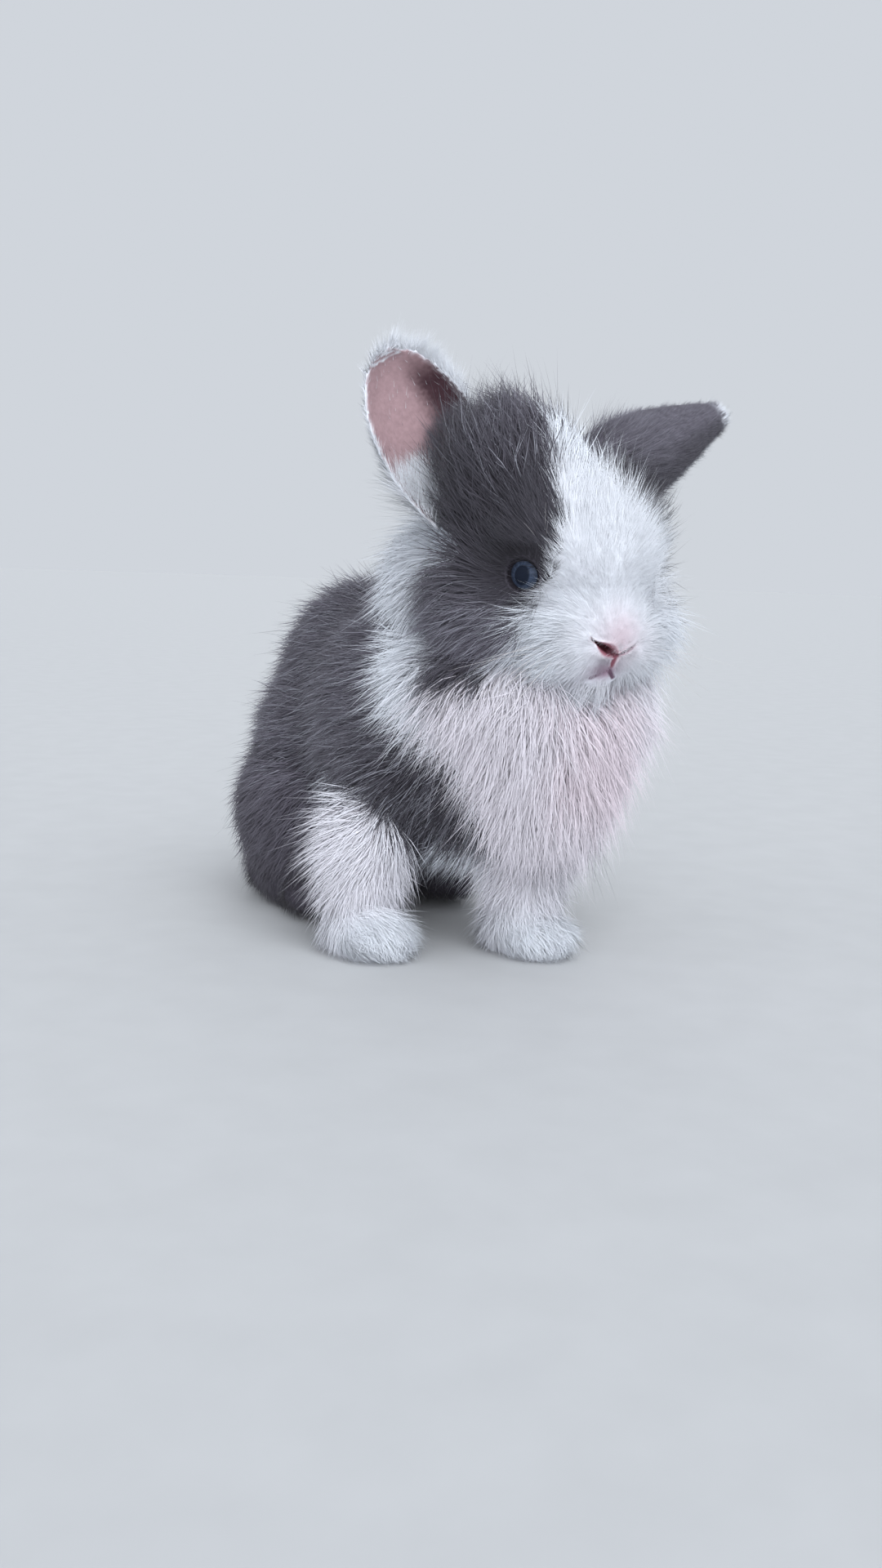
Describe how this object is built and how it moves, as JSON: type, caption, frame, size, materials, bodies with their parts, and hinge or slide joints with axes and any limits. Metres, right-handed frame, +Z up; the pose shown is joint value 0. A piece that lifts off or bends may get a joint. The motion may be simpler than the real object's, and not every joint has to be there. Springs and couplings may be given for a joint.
{
  "type": "lionhead rabbit",
  "caption": "Life-size model of a young lionhead rabbit sitting up on straight forelegs, grey and white, with a long mane of tapered locks round its head.",
  "frame": {"origin": "on the floor, below the middle of the whole animal's box", "axes": "+Z up, the rabbit's chest faces -Y, its left side is +X"},
  "size_m": [0.1284, 0.1616, 0.1704],
  "materials": {
    "grey_coat": "soft, long slate-grey coat with pale tips",
    "white_coat": "soft, long white coat",
    "ear_skin": "thin pink skin with sparse down",
    "eye_wet": "wet, glossy, blue-grey iris"
  },
  "bodies": {
    "root": {"head": "grey_coat", "ear_left": "grey_coat", "ear_right": "ear_skin", "eye_left": "eye_wet", "eye_right": "eye_wet", "neck_mane": "white_coat", "torso": "grey_coat", "thigh_left": "grey_coat", "thigh_right": "grey_coat", "tail": "grey_coat", "foreleg_left": "white_coat", "foreleg_right": "white_coat", "forepaw_left": "white_coat", "forepaw_right": "white_coat", "hindfoot_left": "grey_coat", "hindfoot_right": "grey_coat"}
  },
  "joints": []
}
